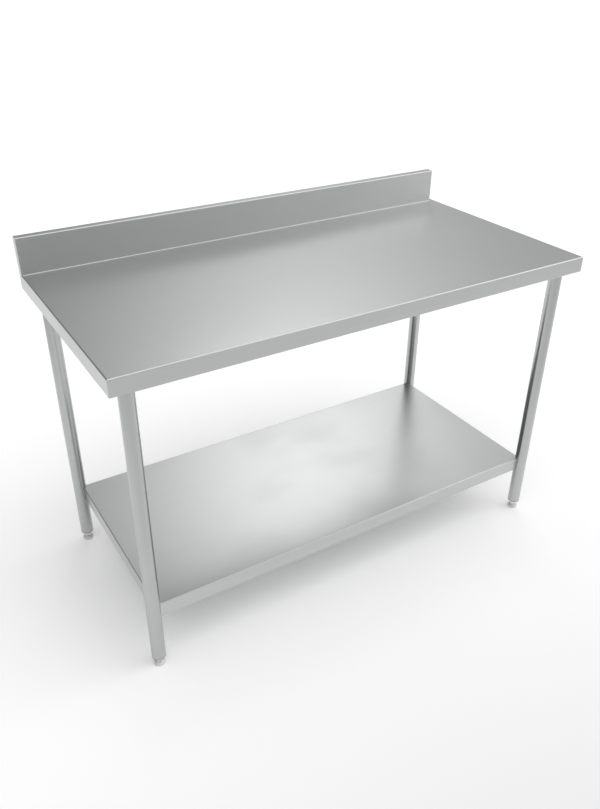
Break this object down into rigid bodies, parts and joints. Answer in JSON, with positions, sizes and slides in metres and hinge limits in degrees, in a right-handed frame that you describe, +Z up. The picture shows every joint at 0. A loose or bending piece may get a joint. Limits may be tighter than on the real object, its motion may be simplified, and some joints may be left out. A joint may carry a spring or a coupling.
{
  "type": "stainless work table",
  "caption": "Stainless work table with a folded worktop, boxed rear upstand, round tube legs, a notched lower shelf and screw-adjusted levelling feet.",
  "frame": {"origin": "on the floor under the centre of the worktop's footprint", "axes": "+X along the table to its right end, +Y to the back, where the upstand is, +Z up"},
  "size_m": [1.4, 0.68, 1.002],
  "materials": {
    "stainless_sheet": "satin, grain along the length",
    "stainless_tube": "satin, polished round the tube",
    "galvanised_steel": "dull galvanised",
    "zinc_fasteners": "bright zinc plate",
    "foot_steel": "turned stainless",
    "grey_nylon": "moulded, fine matt",
    "pale_nylon": "moulded, fine matt",
    "chipboard": "moisture-resistant chipboard faced in dark grey melamine, with sawn edges"
  },
  "bodies": {
    "frame": {"worktop_skin": "stainless_sheet", "upstand_cap_left": "stainless_sheet", "upstand_cap_right": "stainless_sheet", "deck_board": "chipboard", "bearer_left": "galvanised_steel", "bearer_middle": "galvanised_steel", "bearer_right": "galvanised_steel", "bearer_screws": "zinc_fasteners", "leg_socket_front_left": "galvanised_steel", "leg_socket_front_right": "galvanised_steel", "leg_socket_back_left": "galvanised_steel", "leg_socket_back_right": "galvanised_steel", "socket_bolts": "zinc_fasteners", "socket_nuts": "zinc_fasteners", "leg_front_left": "stainless_tube", "leg_front_right": "stainless_tube", "leg_back_left": "stainless_tube", "leg_back_right": "stainless_tube", "leg_lock_screws": "zinc_fasteners", "leg_plug_front_left": "grey_nylon", "leg_plug_front_right": "grey_nylon", "leg_plug_back_left": "grey_nylon", "leg_plug_back_right": "grey_nylon", "shelf_skin": "stainless_sheet", "shelf_bearer": "galvanised_steel", "shelf_bracket_front_left": "galvanised_steel", "shelf_bracket_front_right": "galvanised_steel", "shelf_bracket_back_left": "galvanised_steel", "shelf_bracket_back_right": "galvanised_steel", "shelf_screws": "zinc_fasteners", "leg_rivet_nuts": "zinc_fasteners"},
    "pad_front_left": {"foot_pad_front_left": "pale_nylon"},
    "stem_front_left": {"foot_stem_front_left": "foot_steel"},
    "pad_front_right": {"foot_pad_front_right": "pale_nylon"},
    "stem_front_right": {"foot_stem_front_right": "foot_steel"},
    "pad_back_left": {"foot_pad_back_left": "pale_nylon"},
    "stem_back_left": {"foot_stem_back_left": "foot_steel"},
    "pad_back_right": {"foot_pad_back_right": "pale_nylon"},
    "stem_back_right": {"foot_stem_back_right": "foot_steel"}
  },
  "joints": [
    {"name": "foot_rise_front_left", "type": "slide", "parent": "frame", "child": "pad_front_left", "axis": [0, 0, 1], "range_m": [-0.021, 0.0026]},
    {"name": "foot_turn_front_left", "type": "hinge", "parent": "pad_front_left", "child": "stem_front_left", "pos_m": [-0.65, -0.2965, 0.018], "axis": [0, 0, 1], "range_deg": [-4321, 541]},
    {"name": "foot_rise_front_right", "type": "slide", "parent": "frame", "child": "pad_front_right", "axis": [0, 0, 1], "range_m": [-0.021, 0.0026]},
    {"name": "foot_turn_front_right", "type": "hinge", "parent": "pad_front_right", "child": "stem_front_right", "pos_m": [0.65, -0.2965, 0.018], "axis": [0, 0, 1], "range_deg": [-4321, 541]},
    {"name": "foot_rise_back_left", "type": "slide", "parent": "frame", "child": "pad_back_left", "axis": [0, 0, 1], "range_m": [-0.021, 0.0026]},
    {"name": "foot_turn_back_left", "type": "hinge", "parent": "pad_back_left", "child": "stem_back_left", "pos_m": [-0.65, 0.2965, 0.018], "axis": [0, 0, 1], "range_deg": [-4321, 541]},
    {"name": "foot_rise_back_right", "type": "slide", "parent": "frame", "child": "pad_back_right", "axis": [0, 0, 1], "range_m": [-0.021, 0.0026]},
    {"name": "foot_turn_back_right", "type": "hinge", "parent": "pad_back_right", "child": "stem_back_right", "pos_m": [0.65, 0.2965, 0.018], "axis": [0, 0, 1], "range_deg": [-4321, 541]}
  ],
  "couplings": [
    {"joint": "foot_turn_front_left", "follows": "foot_rise_front_left", "rad_per_m": 3590.4},
    {"joint": "foot_turn_front_right", "follows": "foot_rise_front_right", "rad_per_m": 3590.4},
    {"joint": "foot_turn_back_left", "follows": "foot_rise_back_left", "rad_per_m": 3590.4},
    {"joint": "foot_turn_back_right", "follows": "foot_rise_back_right", "rad_per_m": 3590.4}
  ]
}
